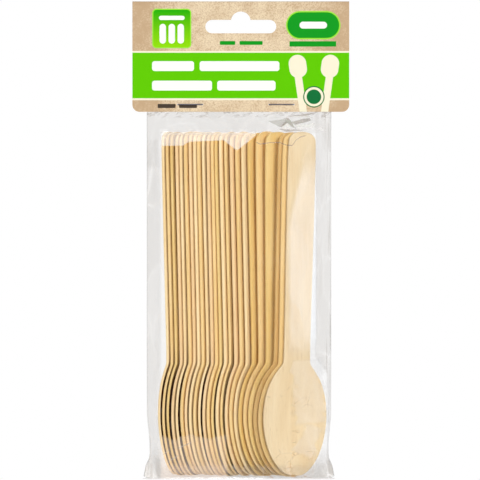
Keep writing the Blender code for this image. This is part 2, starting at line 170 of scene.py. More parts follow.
class FilmSettings(bpy.types.PropertyGroup):
    mesh_step: FloatProperty(
        name="Mesh Step", description="Size of the squares that the film creases over", default=1.6 * MM,
        unit="LENGTH")
    crumple: FloatProperty(
        name="Crumple", description="Depth of the creases at the shoulder", default=0.9 * MM, unit="LENGTH")
    haze: FloatProperty(
        name="Haze", description="Cover of the clear film", default=0.04, subtype="FACTOR")
    tint: FloatVectorProperty(
        name="Tint", description="Grey of the film against white", default=ink(128, 110, 84), subtype="COLOR")
    # The colour of the painted glare on the fold and the foot's glints.
    glare: FloatVectorProperty(
        name="Glare", description="White where it lies folded on the wood", default=ink(250, 246, 243),
        subtype="COLOR")
    gloss: FloatVectorProperty(
        name="Gloss", description="White of its soft shine on the wood", default=ink(236, 240, 246),
        subtype="COLOR")
    # Also the colour of the lit shards' painted highlight.
    veil: FloatVectorProperty(
        name="Veil", description="Pale grey of its folds against white", default=ink(232, 228, 225),
        subtype="COLOR")
    taupe: FloatVectorProperty(
        name="Taupe", description="Grey-brown of the crumples that turn from the light",
        default=ink(146, 132, 118), subtype="COLOR")


class CardSettings(bpy.types.PropertyGroup):
    kraft: FloatVectorProperty(
        name="Kraft", description="Light colour of the card", default=ink(231, 212, 180), subtype="COLOR")
    kraft_dark: FloatVectorProperty(
        name="Kraft Dark", description="Dark of the card's mottling", default=ink(193, 164, 130),
        subtype="COLOR")
    badge_top: FloatVectorProperty(
        name="Badge Top", description="Upper green of the badge", default=ink(34, 170, 6), subtype="COLOR")
    badge_foot: FloatVectorProperty(
        name="Badge Foot", description="Lower green of the badge", default=ink(140, 215, 10), subtype="COLOR")


class StapleSettings(bpy.types.PropertyGroup):
    steel: FloatVectorProperty(
        name="Steel", description="Colour of the staple wire", default=ink(126, 124, 132), subtype="COLOR")


class StageSettings(bpy.types.PropertyGroup):
    camera_distance: FloatProperty(
        name="Camera Distance", description="From the camera to the pack", default=4.0, unit="LENGTH")
    picture_width: FloatProperty(
        name="Picture Width", description="Width that the picture takes in at the pack", default=0.2239,
        unit="LENGTH")
    daylight: FloatProperty(
        name="Daylight", description="Strength of the even light from all round", default=0.32)
    key_power: FloatProperty(
        name="Key Lamp", description="Power of the large soft lamp in front", default=15.0, unit="POWER")
    fill_power: FloatProperty(
        name="Fill Lamp", description="Power of the soft lamp on the left", default=6.5, unit="POWER")
    back_power: FloatProperty(
        name="Back Lamp", description="Power of the soft lamp behind", default=22.0, unit="POWER")
    floor_drop: FloatProperty(
        name="Floor Drop", description="Space under the hanging pack", default=0.03, unit="LENGTH")


# ---------------------------------------------------------------- node benches

class Bench:
    """Lays nodes into one tree. A value given to an input is a number, a tuple or another node's output."""

    def __init__(self, tree):
        self.tree = tree

    def put(self, node, socket, value):
        if isinstance(value, bpy.types.NodeSocket):
            self.tree.links.new(value, node.inputs[socket])
        elif value is not None:
            target = node.inputs[socket]
            if isinstance(value, tuple) and len(value) == 3 and len(target.default_value) == 4:
                value = (*value, 1.0)
            target.default_value = value

    def node(self, kind, inputs=None, **settings):
        node = self.tree.nodes.new(kind)
        for name, value in settings.items():
            setattr(node, name, value)
        for socket, value in (inputs or {}).items():
            self.put(node, socket, value)
        return node

    def math(self, operation, first, second=None, third=None, clamp=False):
        inputs = {0: first, 1: second, 2: third}
        return self.node("ShaderNodeMath", inputs, operation=operation, use_clamp=clamp).outputs[0]

    def vector(self, operation, first, second=None, scale=None):
        inputs = {0: first, 1: second}
        node = self.node("ShaderNodeVectorMath", inputs, operation=operation)
        self.put(node, "Scale", scale)
        return node.outputs["Value" if operation in ("LENGTH", "DOT_PRODUCT") else "Vector"]

    def ramp(self, value, low, high, to_low=0.0, to_high=1.0, smooth=True):
        inputs = {"Value": value, "From Min": low, "From Max": high, "To Min": to_low, "To Max": to_high}
        kind = "SMOOTHSTEP" if smooth else "LINEAR"
        return self.node("ShaderNodeMapRange", inputs, interpolation_type=kind).outputs["Result"]

    def stretch(self, share, low, high):
        """A share from 0 to 1 laid out evenly between two ends."""
        return self.ramp(share, 0.0, 1.0, low, high, smooth=False)

    def mix(self, share, first, second):
        node = self.node("ShaderNodeMix", data_type="RGBA")
        for socket, value in ((0, share), (6, first), (7, second)):
            self.put(node, socket, value)
        return node.outputs[2]

    def chain(self, operation, values):
        """Joins values one after another by the same operation."""
        total, *rest = values
        for value in rest:
            total = self.math(operation, total, value)
        return total

    def both(self, *masks):
        """Where all the masks are."""
        return self.chain("MULTIPLY", masks)

    def any_of(self, masks):
        """Where one of the masks is."""
        return self.chain("MAXIMUM", masks)

    def stack(self, start, *layers):
        """A value with masks added to it, each with its weight."""
        total = start
        for mask, weight in layers:
            total = self.math("MULTIPLY_ADD", mask, weight, total)
        return total

    def noise(self, place, scale, detail=2.0, rough=0.5, seed=0.0, distortion=0.0):
        inputs = {"Vector": place, "W": seed, "Scale": scale, "Detail": detail,
                  "Roughness": rough, "Distortion": distortion}
        return self.node("ShaderNodeTexNoise", inputs, noise_dimensions="4D").outputs["Fac"]

    def streaks(self, place, squeeze, **settings):
        """Noise that is squeezed or drawn out along each axis."""
        return self.noise(self.vector("MULTIPLY", place, squeeze), 1.0, **settings)

    def millimetres(self):
        """The place on the object, in mm."""
        place = self.node("ShaderNodeTexCoord").outputs["Object"]
        return self.vector("SCALE", place, scale=1 / MM)

    def turned(self, place, angle):
        """A place turned in the pack's front plane."""
        return self.node(
            "ShaderNodeVectorRotate", {"Vector": place, "Angle": angle}, rotation_type="Y_AXIS").outputs[0]

    def split(self, place):
        return self.node("ShaderNodeSeparateXYZ", {0: place}).outputs[:]

    def join(self, x, y, z):
        return self.node("ShaderNodeCombineXYZ", {0: x, 1: y, 2: z}).outputs[0]

    def shown(self):
        """Where a ray shows things as they look: straight, mirrored or let through."""
        path = self.node("ShaderNodeLightPath").outputs
        seen = self.math("ADD", path["Is Camera Ray"], path["Is Glossy Ray"])
        return self.math("ADD", seen, path["Is Transmission Ray"], clamp=True)


def new_group(name, inputs, outputs):
    """An empty node group with its sockets, its bench, and its input node's outputs."""
    tree = bpy.data.node_groups.new(name, "ShaderNodeTree")
    for label, value in inputs.items():
        kind = "Float" if isinstance(value, float) else "Color" if len(value) == 4 else "Vector"
        socket = tree.interface.new_socket(label, in_out="INPUT", socket_type="NodeSocket" + kind)
        socket.default_value = value
    for label, kind in outputs.items():
        tree.interface.new_socket(label, in_out="OUTPUT", socket_type=kind)
    bench = Bench(tree)
    return bench, bench.node("NodeGroupInput").outputs


def close_group(bench, results):
    out = bench.node("NodeGroupOutput")
    for label, value in results.items():
        bench.put(out, label, value)
    return bench.tree


def new_material(name):
    finish = bpy.data.materials.new(name)
    finish.use_nodes = True
    shader = finish.node_tree.nodes["Principled BSDF"]
    return finish, Bench(finish.node_tree), shader


def add_bump(bench, shader, height, strength, depth):
    bump = bench.node("ShaderNodeBump", {"Height": height, "Strength": strength, "Distance": depth})
    bench.put(shader, "Normal", bump.outputs[0])


def use_group(bench, tree, **inputs):
    """Places a group. Its inputs are given by their labels, with _ for a space."""
    node = bench.node("ShaderNodeGroup", node_tree=tree)
    for label, value in inputs.items():
        bench.put(node, label.replace("_", " "), value)
    return node.outputs


def flat(point):
    """A point on the pack's front plane, from its places across and up."""
    return (point[0], 0.0, point[1])


def flat_shape_group():
    """The mask of a box with round corners, which is a disc where the corner is its half size."""
    if "flat_shape" in bpy.data.node_groups:
        return bpy.data.node_groups["flat_shape"]
    bench, given = new_group(
        "flat_shape",
        {"Place": (0.0, 0.0, 0.0), "Centre": (0.0, 0.0, 0.0), "Half Size": (1.0, 0.0, 1.0), "Corner": 0.0,
         "Soft": 0.05, "Turn": 0.0},
        {"Mask": "NodeSocketFloat"})
    offset = bench.vector("SUBTRACT", given["Place"], given["Centre"])
    turned = bench.turned(bench.vector("MULTIPLY", offset, (1.0, 0.0, 1.0)), given["Turn"])
    corner = bench.join(given["Corner"], 0.0, given["Corner"])
    inner = bench.vector("SUBTRACT", given["Half Size"], corner)
    past = bench.vector("SUBTRACT", bench.vector("ABSOLUTE", turned), inner)
    outside = bench.vector("LENGTH", bench.vector("MAXIMUM", past, (0.0, 0.0, 0.0)))
    px, _, pz = bench.split(past)
    inside = bench.math("MINIMUM", bench.math("MAXIMUM", px, pz), 0.0)
    distance = bench.math("SUBTRACT", bench.math("ADD", outside, inside), given["Corner"])
    inner_edge = bench.math("MULTIPLY", given["Soft"], -1.0)
    return close_group(bench, {"Mask": bench.ramp(distance, inner_edge, given["Soft"], 1.0, 0.0)})


# ---------------------------------------------------------------- birch

# Where the handles' shade turns into the bowls', in mm, and its share of theirs.
NECK_Z, HANDLE_SHADE = (-150.0, -176.0), 0.44
# Gloss of the open wood and of the faces in shade.
BARE_SHEEN, SHADED_SHEEN = 0.15, 0.02
FRONT_FLECKS, NESTED_FLECKS, EDGE_FLECKS = 0.5, 0.25, 0.2
SEED_STEP, EDGE_SEED = 3.7, 1.3


def veneer_group():
    """Straight birch grain with faint broad bands, pores and small brown flecks, and painted shade on nested
    fronts.
    """
    bench, given = new_group(
        "birch_veneer",
        {"Place": (0.0, 0.0, 0.0), "Light": (0.8, 0.6, 0.4, 1.0), "Dark": (0.6, 0.4, 0.2, 1.0),
         "Length": 26.0, "Width": 0.9, "Seed": 0.0, "Flecks": 0.5, "Nested": 0.0},
        {"Color": "NodeSocketColor", "Roughness": "NodeSocketFloat", "Height": "NodeSocketFloat"})
    x, y, z = bench.split(given["Place"])
    along = bench.math("DIVIDE", z, given["Length"])
    across_x = bench.math("DIVIDE", x, given["Width"])
    across_y = bench.math("DIVIDE", y, given["Width"])
    grain_place = bench.join(across_x, across_y, along)
    grain = bench.noise(grain_place, 1.0, detail=3.0, rough=0.6, seed=given["Seed"])
    bands = bench.streaks(grain_place, (0.14, 0.14, 0.7), seed=given["Seed"], distortion=0.6)
    pores = bench.streaks(grain_place, (2.6, 2.6, 9.0), detail=1.0, seed=given["Seed"])
    share = bench.math("ADD", bench.ramp(grain, 0.35, 0.7, 0.0, 0.45), bench.ramp(bands, 0.35, 0.7, 0.0, 0.6))
    colour = bench.mix(bench.math("MINIMUM", share, 1.0), given["Light"], given["Dark"])
    pore_mask = bench.ramp(pores, 0.62, 0.74, 0.0, 0.28)
    colour = bench.mix(pore_mask, colour, PORE_BROWN)
    spots = bench.streaks(given["Place"], (0.42, 0.42, 0.26), detail=3.0, rough=0.6, seed=given["Seed"])
    fleck_mask = bench.math("MULTIPLY", bench.ramp(spots, 0.66, 0.78), given["Flecks"])
    colour = bench.mix(fleck_mask, colour, FLECK_BROWN)
    # Painted shade: fronts that nest behind the next spoon turn brown, deepest in the bowls.
    in_bowl = bench.ramp(z, *NECK_Z)
    shade = bench.math("MULTIPLY", bench.stretch(in_bowl, HANDLE_SHADE, 1.0), given["Nested"])
    colour = bench.mix(shade, colour, bench.mix(in_bowl, SHADED_HANDLE, SHADED_BOWL))
    rough = bench.ramp(grain, 0.3, 0.7, 0.52, 0.66, smooth=False)
    height = bench.math("SUBTRACT", bench.math("MULTIPLY", grain, 0.6), pore_mask)
    return close_group(bench, {"Color": colour, "Roughness": rough, "Height": height})


def birch_material(name, group, tone, seed, nested, flecks, settings):
    """One tone of birch. Fronts that nest behind the next spoon get painted shade, brown and deepest in the
    bowls.
    """
    finish, bench, shader = new_material(name)
    light, dark = TONES[tone]
    made = use_group(
        bench, group, Place=bench.millimetres(), Light=light, Dark=dark, Length=settings.grain_length,
        Width=settings.grain_width, Seed=seed, Flecks=flecks, Nested=nested)
    bench.put(shader, "Base Color", made["Color"])
    bench.put(shader, "Roughness", made["Roughness"])
    bench.put(shader, "Specular IOR Level", SHADED_SHEEN if nested > 0.0 else BARE_SHEEN)
    add_bump(bench, shader, made["Height"], strength=0.25, depth=0.05 * MM)
    return finish


def copied_mesh(node, name):
    """A copy of a CAD node's mesh with its loose triangles merged into a closed skin of large faces."""
    shape = bmesh.new()
    shape.from_mesh(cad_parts[node].data)
    bmesh.ops.remove_doubles(shape, verts=shape.verts, dist=MERGE_GAP)
    bmesh.ops.join_triangles(
        shape, faces=shape.faces, angle_face_threshold=FLAT_WITHIN, angle_shape_threshold=math.radians(90))
    bmesh.ops.recalc_face_normals(shape, faces=shape.faces)
    return shape, bpy.data.meshes.new(name)


def finished_piece(name, shape, mesh, finishes, replaced):
    """Puts a mesh in the scene in place of a CAD node."""
    shape.to_mesh(mesh)
    shape.free()
    mesh.polygons.foreach_set("use_smooth", [True] * len(mesh.polygons))
    for finish in finishes:
        mesh.materials.append(finish)
    piece = bpy.data.objects.new(name, mesh)
    bpy.context.scene.collection.objects.link(piece)
    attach(piece, "root")
    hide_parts(replaced)
    return piece


def paint_node(node, finish):
    """Gives a CAD node that stays in sight its finish."""
    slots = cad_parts[node].data.materials
    slots.clear()
    slots.append(finish)


def broad_side(shape):
    """The direction that a spoon's face looks in."""
    total = Vector()
    for face in shape.faces:
        normal = face.normal if face.normal.y < 0 else -face.normal
        total += normal * face.calc_area()
    return total.normalized()


def pressed_spoon(node, finishes, settings):
    """A spoon with a rounded rim and a smooth outline.

    Its front takes the first finish, and the rest of it the second.
    """
    shape, mesh = copied_mesh(node, node + "_birch")
    facing = broad_side(shape)
    sides = {face: round(face.normal.dot(facing)) for face in shape.faces}
    rim = [edge for edge in shape.edges if len({sides[face] for face in edge.link_faces}) == 2]
    for face, side in sides.items():
        face.material_index = int(side != 1)
    bmesh.ops.bevel(
        shape, geom=rim, affect="EDGES", offset=settings.edge_round, segments=2, profile=0.5, material=-1,
        clamp_overlap=True)
    piece = finished_piece(node + "_birch", shape, mesh, finishes, node)
    smooth = piece.modifiers.new("smooth_outline", "SUBSURF")
    smooth.levels = smooth.render_levels = 2


class PACK_OT_spoons(bpy.types.Operator):
    """Rounds the spoons and gives each its own birch"""

    bl_idname = "spoon_pack.spoons"
    bl_label = "Finish Spoons"

    def execute(self, context):
        settings = context.scene.pack_spoons
        group = veneer_group()
        for number, (node, tone, depth) in enumerate(zip(SPOONS, TONE_ORDER, DEPTHS, strict=True)):
            seed = SEED_STEP * number
            nested = settings.nested_shade * depth
            flecks = FRONT_FLECKS if node == FRONT_SPOON else NESTED_FLECKS
            # Only the front finish carries the painted shade; the edge finish gets none.
            face = birch_material(node + "_face", group, tone, seed, nested, flecks, settings)
            edge = birch_material(node + "_edge", group, tone, seed + EDGE_SEED, 0.0, EDGE_FLECKS, settings)
            pressed_spoon(node, (face, edge), settings)
        return {"FINISHED"}


# ---------------------------------------------------------------- film

def crinkle_group():
    """Flat facets of creased film and the bright lines between them."""
    bench, given = new_group(
        "film_crinkle",
        {"Place": (0.0, 0.0, 0.0), "Size": 8.0, "Line": 0.05, "Wobble": 0.8, "Seed": 0.0},
        {"Facet": "NodeSocketFloat", "Crease": "NodeSocketFloat"})
    scaled = bench.vector("SCALE", given["Place"], scale=bench.math("DIVIDE", 1.0, given["Size"]))
    wobble = bench.node(
        "ShaderNodeTexNoise", {"Vector": scaled, "W": given["Seed"], "Scale": 0.9, "Detail": 2.0},
        noise_dimensions="4D").outputs["Color"]
    bent = bench.vector("ADD", scaled, bench.vector("SCALE", wobble, scale=given["Wobble"]))
    cells, edges = (
        bench.node("ShaderNodeTexVoronoi", {"Vector": bent, "W": given["Seed"], "Scale": 1.0},
                   voronoi_dimensions="4D", feature=feature)
        for feature in ("F1", "DISTANCE_TO_EDGE"))
    facet = bench.split(cells.outputs["Color"])[0]
    crease = bench.ramp(edges.outputs["Distance"], 0.0, given["Line"], 1.0, 0.0)
    return close_group(bench, {"Facet": facet, "Crease": crease})


# The lower border of the fold behind the card, white with painted glare, in mm: across the pack, then up.
FOLD_BORDER = (
    (-50, -63.0), (-27, -62.7), (-24, -60.9), (-9.5, -60.3), (-8.4, -60.0), (-1.8, -65.0), (7.0, -58.1),
    (8.5, -50.0), (50, -40.0))
# The thin crease that the fold leaves over the fan of spoons.
CREASE_LINE = (
    (-50, -61.0), (7.1, -61.1), (9.0, -62.0), (13.6, -61.3), (18.3, -61.3), (21.1, -62.5), (23.9, -62.7),
    (25.5, -60.4), (27.6, -58.8), (29.9, -58.1), (50, -57.0))
# The heights between which both lines are drawn.
LINES_LOW_Z, LINES_HIGH_Z = -70.0, -40.0

# Creased facets at the shoulder: triangles with their corners in mm, anticlockwise. The dark ones carry
# painted shade, the lit ones a painted highlight.
DARK_SHARDS = (
    ((12.9, -51.2), (19.0, -54.3), (19.1, -50.4)),
    ((18.9, -50.7), (23.0, -51.0), (21.5, -49.4)),
    ((18.9, -50.5), (18.8, -54.2), (23.0, -51.0)),
    ((21.1, -51.5), (25.8, -55.0), (23.2, -50.8)),
    ((23.2, -51.6), (32.6, -51.0), (32.0, -49.6)),
    ((23.2, -51.6), (25.8, -52.9), (32.6, -51.0)),
    ((17.4, -55.0), (21.1, -56.3), (30.2, -55.4)),
    ((22.0, -48.7), (30.4, -48.7), (35.1, -47.3)),
)
LIT_SHARDS = (
    ((19.9, -52.3), (23.9, -54.7), (21.6, -51.9)),
    ((19.9, -52.3), (18.8, -54.8), (23.9, -54.7)),
    ((25.6, -53.1), (33.2, -54.6), (34.6, -52.1)),
    ((25.6, -53.1), (26.5, -55.0), (33.2, -54.6)),
    ((22.3, -49.1), (33.7, -49.7), (31.8, -48.6)),
    ((35.2, -54.8), (39.9, -56.2), (36.9, -53.6)),
)

# Flat marks on the film: centre and half size in mm, and turn in degrees. The foot's glints and the bowl's
# shines are painted highlights.
FOOT_GLINTS = (
    ((-31.5, -208.3), (2.7, 0.12), 32),
    ((-26.0, -202.0), (3.2, 0.12), 24),
    ((-35.0, -205.5), (2.0, 0.1), 40),
)
BOWL_SHINES = (((31.5, -177.0), (7.0, 15.0), 4), ((32.0, -200.0), (4.5, 7.5), -24))
SIDE_PATCH = ((-41.6, -66.5), (3.0, 6.3), 4)

# The borders of the film's fields in mm, each from where its field is empty to where it is full.
FRONT_Y = (0.5, -0.5)
SPOONS_LEFT_X, SPOONS_TOP_Z, SPOONS_FOOT_Z = (-37.9, -36.7), (-56.5, -58.5), (-212.5, -209.0)
ABOVE_Z, ABOVE_RIGHT_X = (-57.5, -56.0), (38.0, 35.0)
BARE_LEFT_X, BARE_PAST_EDGE = (-36.5, -38.5), (0.0, 1.5)
FOOT_Z, FOOT_BESIDE, FOOT_UNDER_Z = (-201.0, -214.0), (31.0, 36.0), (-210.5, -213.0)
VEIL_Z, VEIL_RIGHT_X = (-197.2, -198.8), (-5.5, -7.5)
FOLD_PAST_LINE, FOLD_TOP_Z, FOLD_LEFT_X = (-0.25, 0.25), (-55.4, -57.0), (-37.8, -36.6)
CREASE_OFF_LINE, CREASE_LEFT_X, CREASE_RIGHT_X = (0.3, 0.05), (6.5, 8.0), (31.0, 29.0)
# The pleats' border, and the border of the painted shadow under the card.
PLEATS_X, UNDER_CARD_Z = (37.5, 39.0), (-50.0, -48.6)
SHINE_FOOT_Z, SHINE_TOP_Z = (-168.0, -148.0), (-56.0, -84.0)
SHINE_PAST_EDGE, SHINE_RIGHT_X = (-0.5, 3.0), (36.0, 34.5)
WRINKLES_Z, WRINKLES_LEFT_X, WRINKLES_RIGHT_X = (-172.0, -182.0), (10.0, 14.0), (37.0, 35.0)
# Edges that lean: two heights in mm, then how far across the pack the edge lies at each.
BARE_EDGE = (-170.0, -160.0, 39.5, 34.0)
SHINE_EDGE = (-105.0, -62.0, 21.0, 28.0)
SPOONS_MIDDLE_X = -2.0
# How far borders sway and jag, in mm, and how strong the weaker parts of some fields are.
VEIL_SWAY, SHINE_SWAY, SHARD_JAG = 3.0, 4.0, 0.25
# The last of these is the strength of the painted shadow under the card.
FOOT_ON_SPOONS, BOWL_SHINE, UNDER_CARD_SHADE = 0.2, 0.6, 0.6
# How the creases' facets are drawn out: upright, or leaning to the right.
TALL, LEAN, LEAN_ANGLE = (1.0, 1.0, 0.35), (0.42, 1.0, 1.0), math.radians(18)

# How much each field adds to the cover of each wall of the bag that it is on.
COVER = {
    "lit_shards": 0.16, "dark_shards": 0.18, "side_patch": 0.025, "fold": 0.25, "tip_veil": 0.1,
    "crease_line": 0.35, "above_spoons": 0.022, "bare": 0.025, "pleats": 0.05, "foot": 0.12, "shine": 0.17,
    "foot_glints": 0.3, "wrinkles": 0.2, "grazing": 0.1,
}
HAZE_ON_WOOD = 0.25


def shard_group():
    """The mask of a triangle whose corners run anticlockwise as seen from the front."""
    bench, given = new_group(
        "film_shard",
        {"Place": (0.0, 0.0, 0.0), "A": (0.0, 0.0, 0.0), "B": (1.0, 0.0, 0.0), "C": (0.0, 0.0, 1.0)},
        {"Mask": "NodeSocketFloat"})
    depths = []
    for first, second in (("A", "B"), ("B", "C"), ("C", "A")):
        edge = bench.vector("SUBTRACT", given[second], given[first])
        inward = bench.vector("NORMALIZE", bench.vector("CROSS_PRODUCT", edge, (0.0, 1.0, 0.0)))
        from_corner = bench.vector("SUBTRACT", given["Place"], given[first])
        depths.append(bench.vector("DOT_PRODUCT", from_corner, inward))
    return close_group(bench, {"Mask": bench.ramp(bench.chain("MINIMUM", depths), -0.12, 0.12)})


def drawn_line(bench, x, points):
    """The height of a drawn line at a place across the pack."""
    low_x, high_x = points[0][0], points[-1][0]
    curve = bench.node("ShaderNodeFloatCurve")
    line = curve.mapping.curves[0]
    ends = [((px - low_x) / (high_x - low_x), (pz - LINES_LOW_Z) / (LINES_HIGH_Z - LINES_LOW_Z))
            for px, pz in points]
    line.points[0].location, line.points[-1].location = ends[0], ends[-1]
    for place in ends[1:-1]:
        line.points.new(*place)
    for point in line.points:
        point.handle_type = "VECTOR"
    curve.mapping.update()
    bench.put(curve, "Value", bench.ramp(x, low_x, high_x, smooth=False))
    return bench.stretch(curve.outputs[0], LINES_LOW_Z, LINES_HIGH_Z)


class FilmFields:
    """Masks of where the film lies bare, folded, crumpled or shining, and of its painted glare and shade,
    laid out over the bag in mm.
    """

    def __init__(self, bench):
        self.bench = bench
        self.place = bench.millimetres()
        self.x, y, self.z = bench.split(self.place)
        self.front = bench.ramp(y, *FRONT_Y)
        self.from_left = bench.ramp(self.x, *SPOONS_LEFT_X)
        self.tall = bench.vector("MULTIPLY", self.place, TALL)
        self.leaning = bench.vector("MULTIPLY", bench.turned(self.place, LEAN_ANGLE), LEAN)
        self.sway = bench.noise(self.place, 0.22, detail=1.0, seed=6.0)
        self.crinkle, self.box, self.shard = crinkle_group(), flat_shape_group(), shard_group()

    def facets(self, place, **settings):
        return use_group(self.bench, self.crinkle, Place=place, **settings)

    def mark(self, centre, half, turn, corner=0.1, soft=0.2, place=None):
        """A soft flat shape: its centre and half size in mm, and its turn in degrees."""
        return use_group(
            self.bench, self.box, Place=place or self.place, Centre=flat(centre), Half_Size=flat(half),
            Corner=corner, Soft=soft, Turn=math.radians(turn))["Mask"]

    def bare(self):
        """The film beside the spoons."""
        bench = self.bench
        past_edge = bench.math("SUBTRACT", self.x, bench.ramp(self.z, *BARE_EDGE))
        right = bench.ramp(past_edge, *BARE_PAST_EDGE)
        return bench.math("MAXIMUM", right, bench.ramp(self.x, *BARE_LEFT_X))

    def over_spoons(self, bare):
        """Where the film lies on wood, less its bare sides."""
        bench = self.bench
        return bench.both(
            self.from_left, bench.ramp(self.z, *SPOONS_TOP_Z), bench.ramp(self.z, *SPOONS_FOOT_Z), self.front,
            bench.math("SUBTRACT", 1.0, bare))

    def above_spoons(self):
        """The film between the handle ends and the card."""
        bench = self.bench
        return bench.both(self.from_left, bench.ramp(self.z, *ABOVE_Z), bench.ramp(self.x, *ABOVE_RIGHT_X))

    def foot(self):
        """The folded film under the spoons, thin where it lies on them."""
        bench = self.bench
        aside = bench.math("ABSOLUTE", bench.math("SUBTRACT", self.x, SPOONS_MIDDLE_X))
        off_spoons = bench.math("MAXIMUM", bench.ramp(aside, *FOOT_BESIDE), bench.ramp(self.z, *FOOT_UNDER_Z))
        return bench.both(bench.ramp(self.z, *FOOT_Z), bench.stretch(off_spoons, FOOT_ON_SPOONS, 1.0))

    def foot_glints(self):
        """Short white lines of painted highlight at the foot's left corner."""
        return self.bench.both(self.bench.any_of([self.mark(*streak) for streak in FOOT_GLINTS]), self.front)

    def tip_veil(self):
        """The thin veil with a wavy border over the left spoons' tips."""
        bench = self.bench
        wavy_z = bench.math("ADD", self.z, bench.ramp(self.sway, 0.0, 1.0, -VEIL_SWAY, VEIL_SWAY))
        return bench.both(
            bench.ramp(wavy_z, *VEIL_Z), bench.ramp(self.x, *VEIL_RIGHT_X), self.from_left, self.front)

    def fold(self):
        """The fold over the spoons' handle ends, white with painted glare."""
        bench = self.bench
        past_line = bench.math("SUBTRACT", self.z, drawn_line(bench, self.x, FOLD_BORDER))
        return bench.both(
            bench.ramp(past_line, *FOLD_PAST_LINE), self.front, bench.ramp(self.z, *FOLD_TOP_Z),
            bench.ramp(self.x, *FOLD_LEFT_X))

    def crease_line(self):
        """The thin dark crease over the fan's handle ends."""
        bench = self.bench
        off_line = bench.math("SUBTRACT", self.z, drawn_line(bench, self.x, CREASE_LINE))
        return bench.both(
            bench.ramp(bench.math("ABSOLUTE", off_line), *CREASE_OFF_LINE), self.front,
            bench.ramp(self.x, *CREASE_LEFT_X), bench.ramp(self.x, *CREASE_RIGHT_X))

    def pleats(self):
        """Upright streaks in the right side fin."""
        bench = self.bench
        upright = bench.streaks(self.place, (1.3, 0.2, 0.03), seed=3.0)
        return bench.both(bench.ramp(upright, 0.56, 0.66), bench.ramp(self.x, *PLEATS_X))

    def shards(self, corners):
        """Crumpled facets with ragged sides."""
        bench = self.bench
        jag = bench.noise(self.place, 0.4, detail=1.0, seed=4.0)
        jag = bench.ramp(jag, 0.2, 0.8, -SHARD_JAG, SHARD_JAG)
        ragged = bench.vector("ADD", self.place, bench.join(jag, 0.0, jag))
        masks = [
            use_group(bench, self.shard, Place=ragged, A=flat(a), B=flat(b), C=flat(c))["Mask"]
            for a, b, c in corners]
        return bench.both(bench.any_of(masks), self.front)

    def dark_shards(self):
        """The painted shade of the facets that turn from the light, and a painted shadow under the card."""
        bench = self.bench
        # A painted shadow in a strip under the card.
        shadow_pattern = bench.ramp(bench.noise(self.leaning, 0.5, detail=3.0, rough=0.6, seed=2.0), 0.52, 0.6)
        under_card_shadow = bench.both(bench.ramp(self.z, *UNDER_CARD_Z), shadow_pattern)
        return bench.math("MAXIMUM", self.shards(DARK_SHARDS), bench.math("MULTIPLY", under_card_shadow, UNDER_CARD_SHADE))

    def shine(self):
        """The soft white shine down the fan's handles and on the front bowl."""
        bench = self.bench
        past_edge = bench.math("SUBTRACT", self.x, bench.ramp(self.z, *SHINE_EDGE))
        shine = bench.both(
            bench.ramp(self.z, *SHINE_FOOT_Z), bench.ramp(self.z, *SHINE_TOP_Z),
            bench.ramp(past_edge, *SHINE_PAST_EDGE), bench.ramp(self.x, *SHINE_RIGHT_X))
        aside = bench.ramp(self.sway, 0.0, 1.0, -SHINE_SWAY, SHINE_SWAY)
        swayed = bench.vector("ADD", self.place, bench.join(aside, 0.0, 0.0))
        for bowl_shine in BOWL_SHINES:
            patch = self.mark(*bowl_shine, corner=1.5, soft=1.3, place=swayed)
            shine = bench.math("MAXIMUM", shine, bench.math("MULTIPLY", patch, BOWL_SHINE))
        glossy = self.facets(self.tall, Size=11.0, Line=0.04, Wobble=0.5, Seed=8.0)["Facet"]
        return bench.both(shine, self.front, bench.stack(0.8, (glossy, 0.3)))

    def wrinkles(self, creases):
        """Thin creases on the front bowl, here and there."""
        bench = self.bench
        on_bowl = bench.both(
            bench.ramp(self.z, *WRINKLES_Z), bench.ramp(self.x, *WRINKLES_LEFT_X),
            bench.ramp(self.x, *WRINKLES_RIGHT_X), self.front)
        here = bench.ramp(bench.noise(self.place, 0.12, seed=5.0), 0.5, 0.62)
        return bench.both(creases, here, on_bowl)


